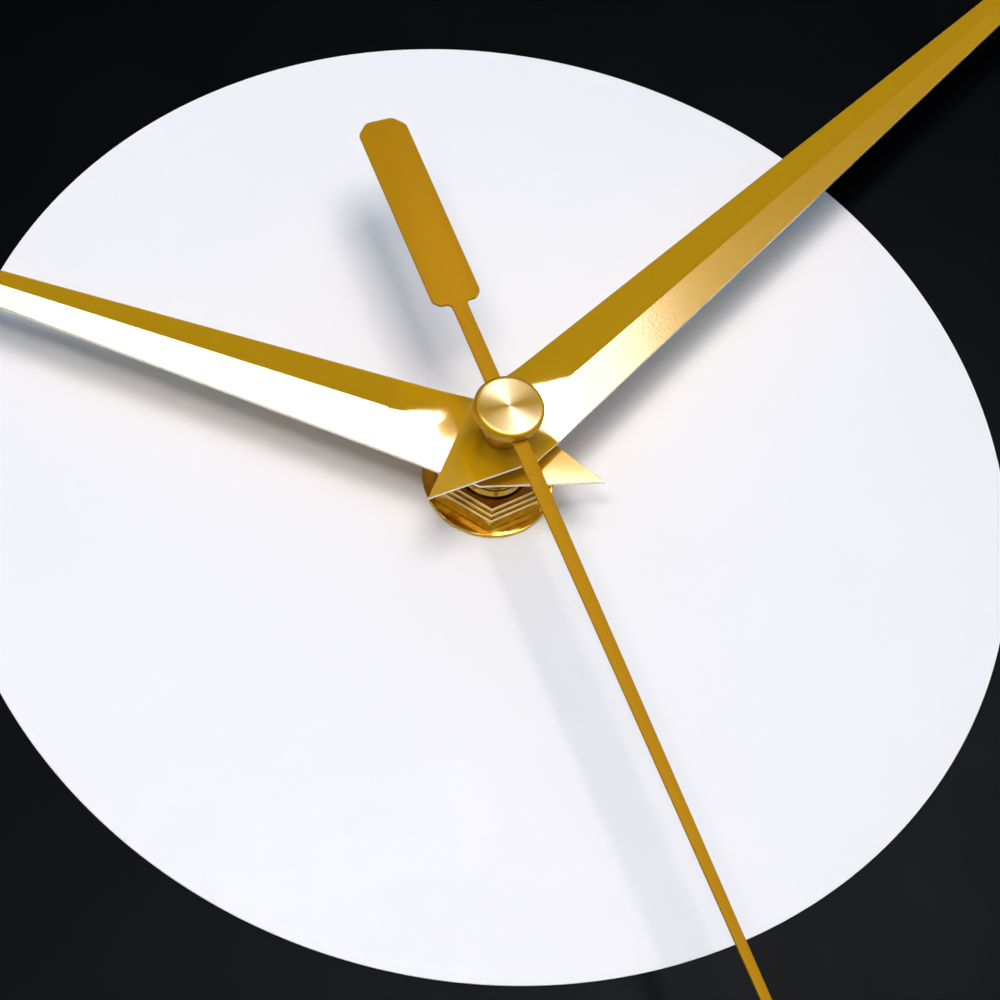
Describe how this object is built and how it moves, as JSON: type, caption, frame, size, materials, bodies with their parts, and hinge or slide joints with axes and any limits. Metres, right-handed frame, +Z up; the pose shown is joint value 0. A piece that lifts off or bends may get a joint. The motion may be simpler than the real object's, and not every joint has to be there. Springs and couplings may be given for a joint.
{
  "type": "wall clock",
  "caption": "Round battery wall clock with a flat black board, a white centre circle, gold kite-shaped hands, a seconds hand with a paddle and a geared quartz movement behind.",
  "frame": {"origin": "on the hand axis, in the plane of the wall, at the flat back of the movement's cover", "axes": "+Z up to 12 o'clock, +X to 3 o'clock, +Y into the wall, so the dial faces -Y"},
  "size_m": [0.35, 0.0404, 0.35],
  "materials": {
    "lacquered_board": "black lacquer with a soft sheen",
    "white_print": "matt white print",
    "gold_hands": "brushed, gold anodised",
    "gold_fittings": "satin, gold anodised",
    "polished_gold": "polished",
    "zinc_steel": "zinc plated",
    "black_rubber": "matt",
    "black_plastic": "fine moulded texture",
    "grey_plastic": "moulded",
    "white_plastic": "moulded",
    "spring_steel": "nickel plated",
    "battery_wrap": "plain shrink wrap",
    "green_board": "solder mask",
    "black_resin": "cast resin drop",
    "silicon_steel": "punched sheet",
    "copper_wire": "enamelled wire",
    "magnet": "sintered"
  },
  "bodies": {
    "dial_and_case": {"dial_board": "lacquered_board", "centre_disc": "white_print", "dial_washer": "polished_gold", "dial_nut": "polished_gold", "threaded_bush": "polished_gold", "rubber_gasket": "black_rubber", "hanger_bracket": "zinc_steel", "movement_case": "black_plastic", "back_cover": "black_plastic", "middle_plate": "grey_plastic", "negative_spring": "spring_steel", "positive_contact": "spring_steel", "circuit_board": "green_board", "timing_chip": "black_resin", "quartz_crystal": "spring_steel", "stator": "silicon_steel", "coil_core": "silicon_steel", "coil_bobbin": "white_plastic", "coil_winding": "copper_wire", "stator_screw_left": "zinc_steel", "stator_screw_right": "zinc_steel"},
    "cell": {"battery": "battery_wrap"},
    "seconds": {"seconds_wheel": "white_plastic", "seconds_arbor": "spring_steel", "seconds_hand": "gold_fittings", "seconds_hub": "gold_fittings", "seconds_cap": "gold_fittings"},
    "rotor": {"rotor_magnet": "magnet", "rotor_pinion": "white_plastic"},
    "step": {"step_wheel": "white_plastic"},
    "third": {"third_wheel": "white_plastic"},
    "minute": {"centre_wheel": "white_plastic", "cannon_pinion": "polished_gold", "minute_hand": "gold_hands", "minute_nut": "gold_fittings"},
    "motion": {"motion_wheel": "white_plastic"},
    "hour": {"hour_wheel": "polished_gold", "hour_hand": "gold_hands"},
    "knob": {"setting_knob": "white_plastic"}
  },
  "joints": [
    {"name": "seconds_turn", "type": "hinge", "parent": "dial_and_case", "child": "seconds", "pos_m": [0, 0, 0], "axis": [0, 1, 0], "continuous": true},
    {"name": "rotor_turn", "type": "hinge", "parent": "dial_and_case", "child": "rotor", "pos_m": [0.012, 0, 0.01251], "axis": [0, 1, 0], "continuous": true},
    {"name": "step_turn", "type": "hinge", "parent": "dial_and_case", "child": "step", "pos_m": [0.00483, 0, 0.00837], "axis": [0, 1, 0], "continuous": true},
    {"name": "third_turn", "type": "hinge", "parent": "dial_and_case", "child": "third", "pos_m": [-0.00987, 0, 0.00439], "axis": [0, 1, 0], "continuous": true},
    {"name": "minute_turn", "type": "hinge", "parent": "dial_and_case", "child": "minute", "pos_m": [0, 0, 0], "axis": [0, 1, 0], "continuous": true},
    {"name": "motion_turn", "type": "hinge", "parent": "dial_and_case", "child": "motion", "pos_m": [0.00865, 0, 0.00315], "axis": [0, 1, 0], "continuous": true},
    {"name": "hour_turn", "type": "hinge", "parent": "dial_and_case", "child": "hour", "pos_m": [0, 0, 0], "axis": [0, 1, 0], "continuous": true},
    {"name": "knob_turn", "type": "hinge", "parent": "dial_and_case", "child": "knob", "pos_m": [0.01729, 0, 0.00629], "axis": [0, 1, 0], "continuous": true},
    {"name": "battery_out", "type": "slide", "parent": "dial_and_case", "child": "cell", "axis": [0, 1, 0], "range_m": [0, 0.02]}
  ],
  "couplings": [
    {"joint": "step_turn", "follows": "seconds_turn", "ratio": -6},
    {"joint": "rotor_turn", "follows": "seconds_turn", "ratio": 30},
    {"joint": "third_turn", "follows": "seconds_turn", "ratio": -0.13333},
    {"joint": "minute_turn", "follows": "seconds_turn", "ratio": 0.016667},
    {"joint": "motion_turn", "follows": "seconds_turn", "ratio": -0.0055556},
    {"joint": "hour_turn", "follows": "seconds_turn", "ratio": 0.0013889},
    {"joint": "knob_turn", "follows": "seconds_turn", "ratio": 0.016667}
  ]
}
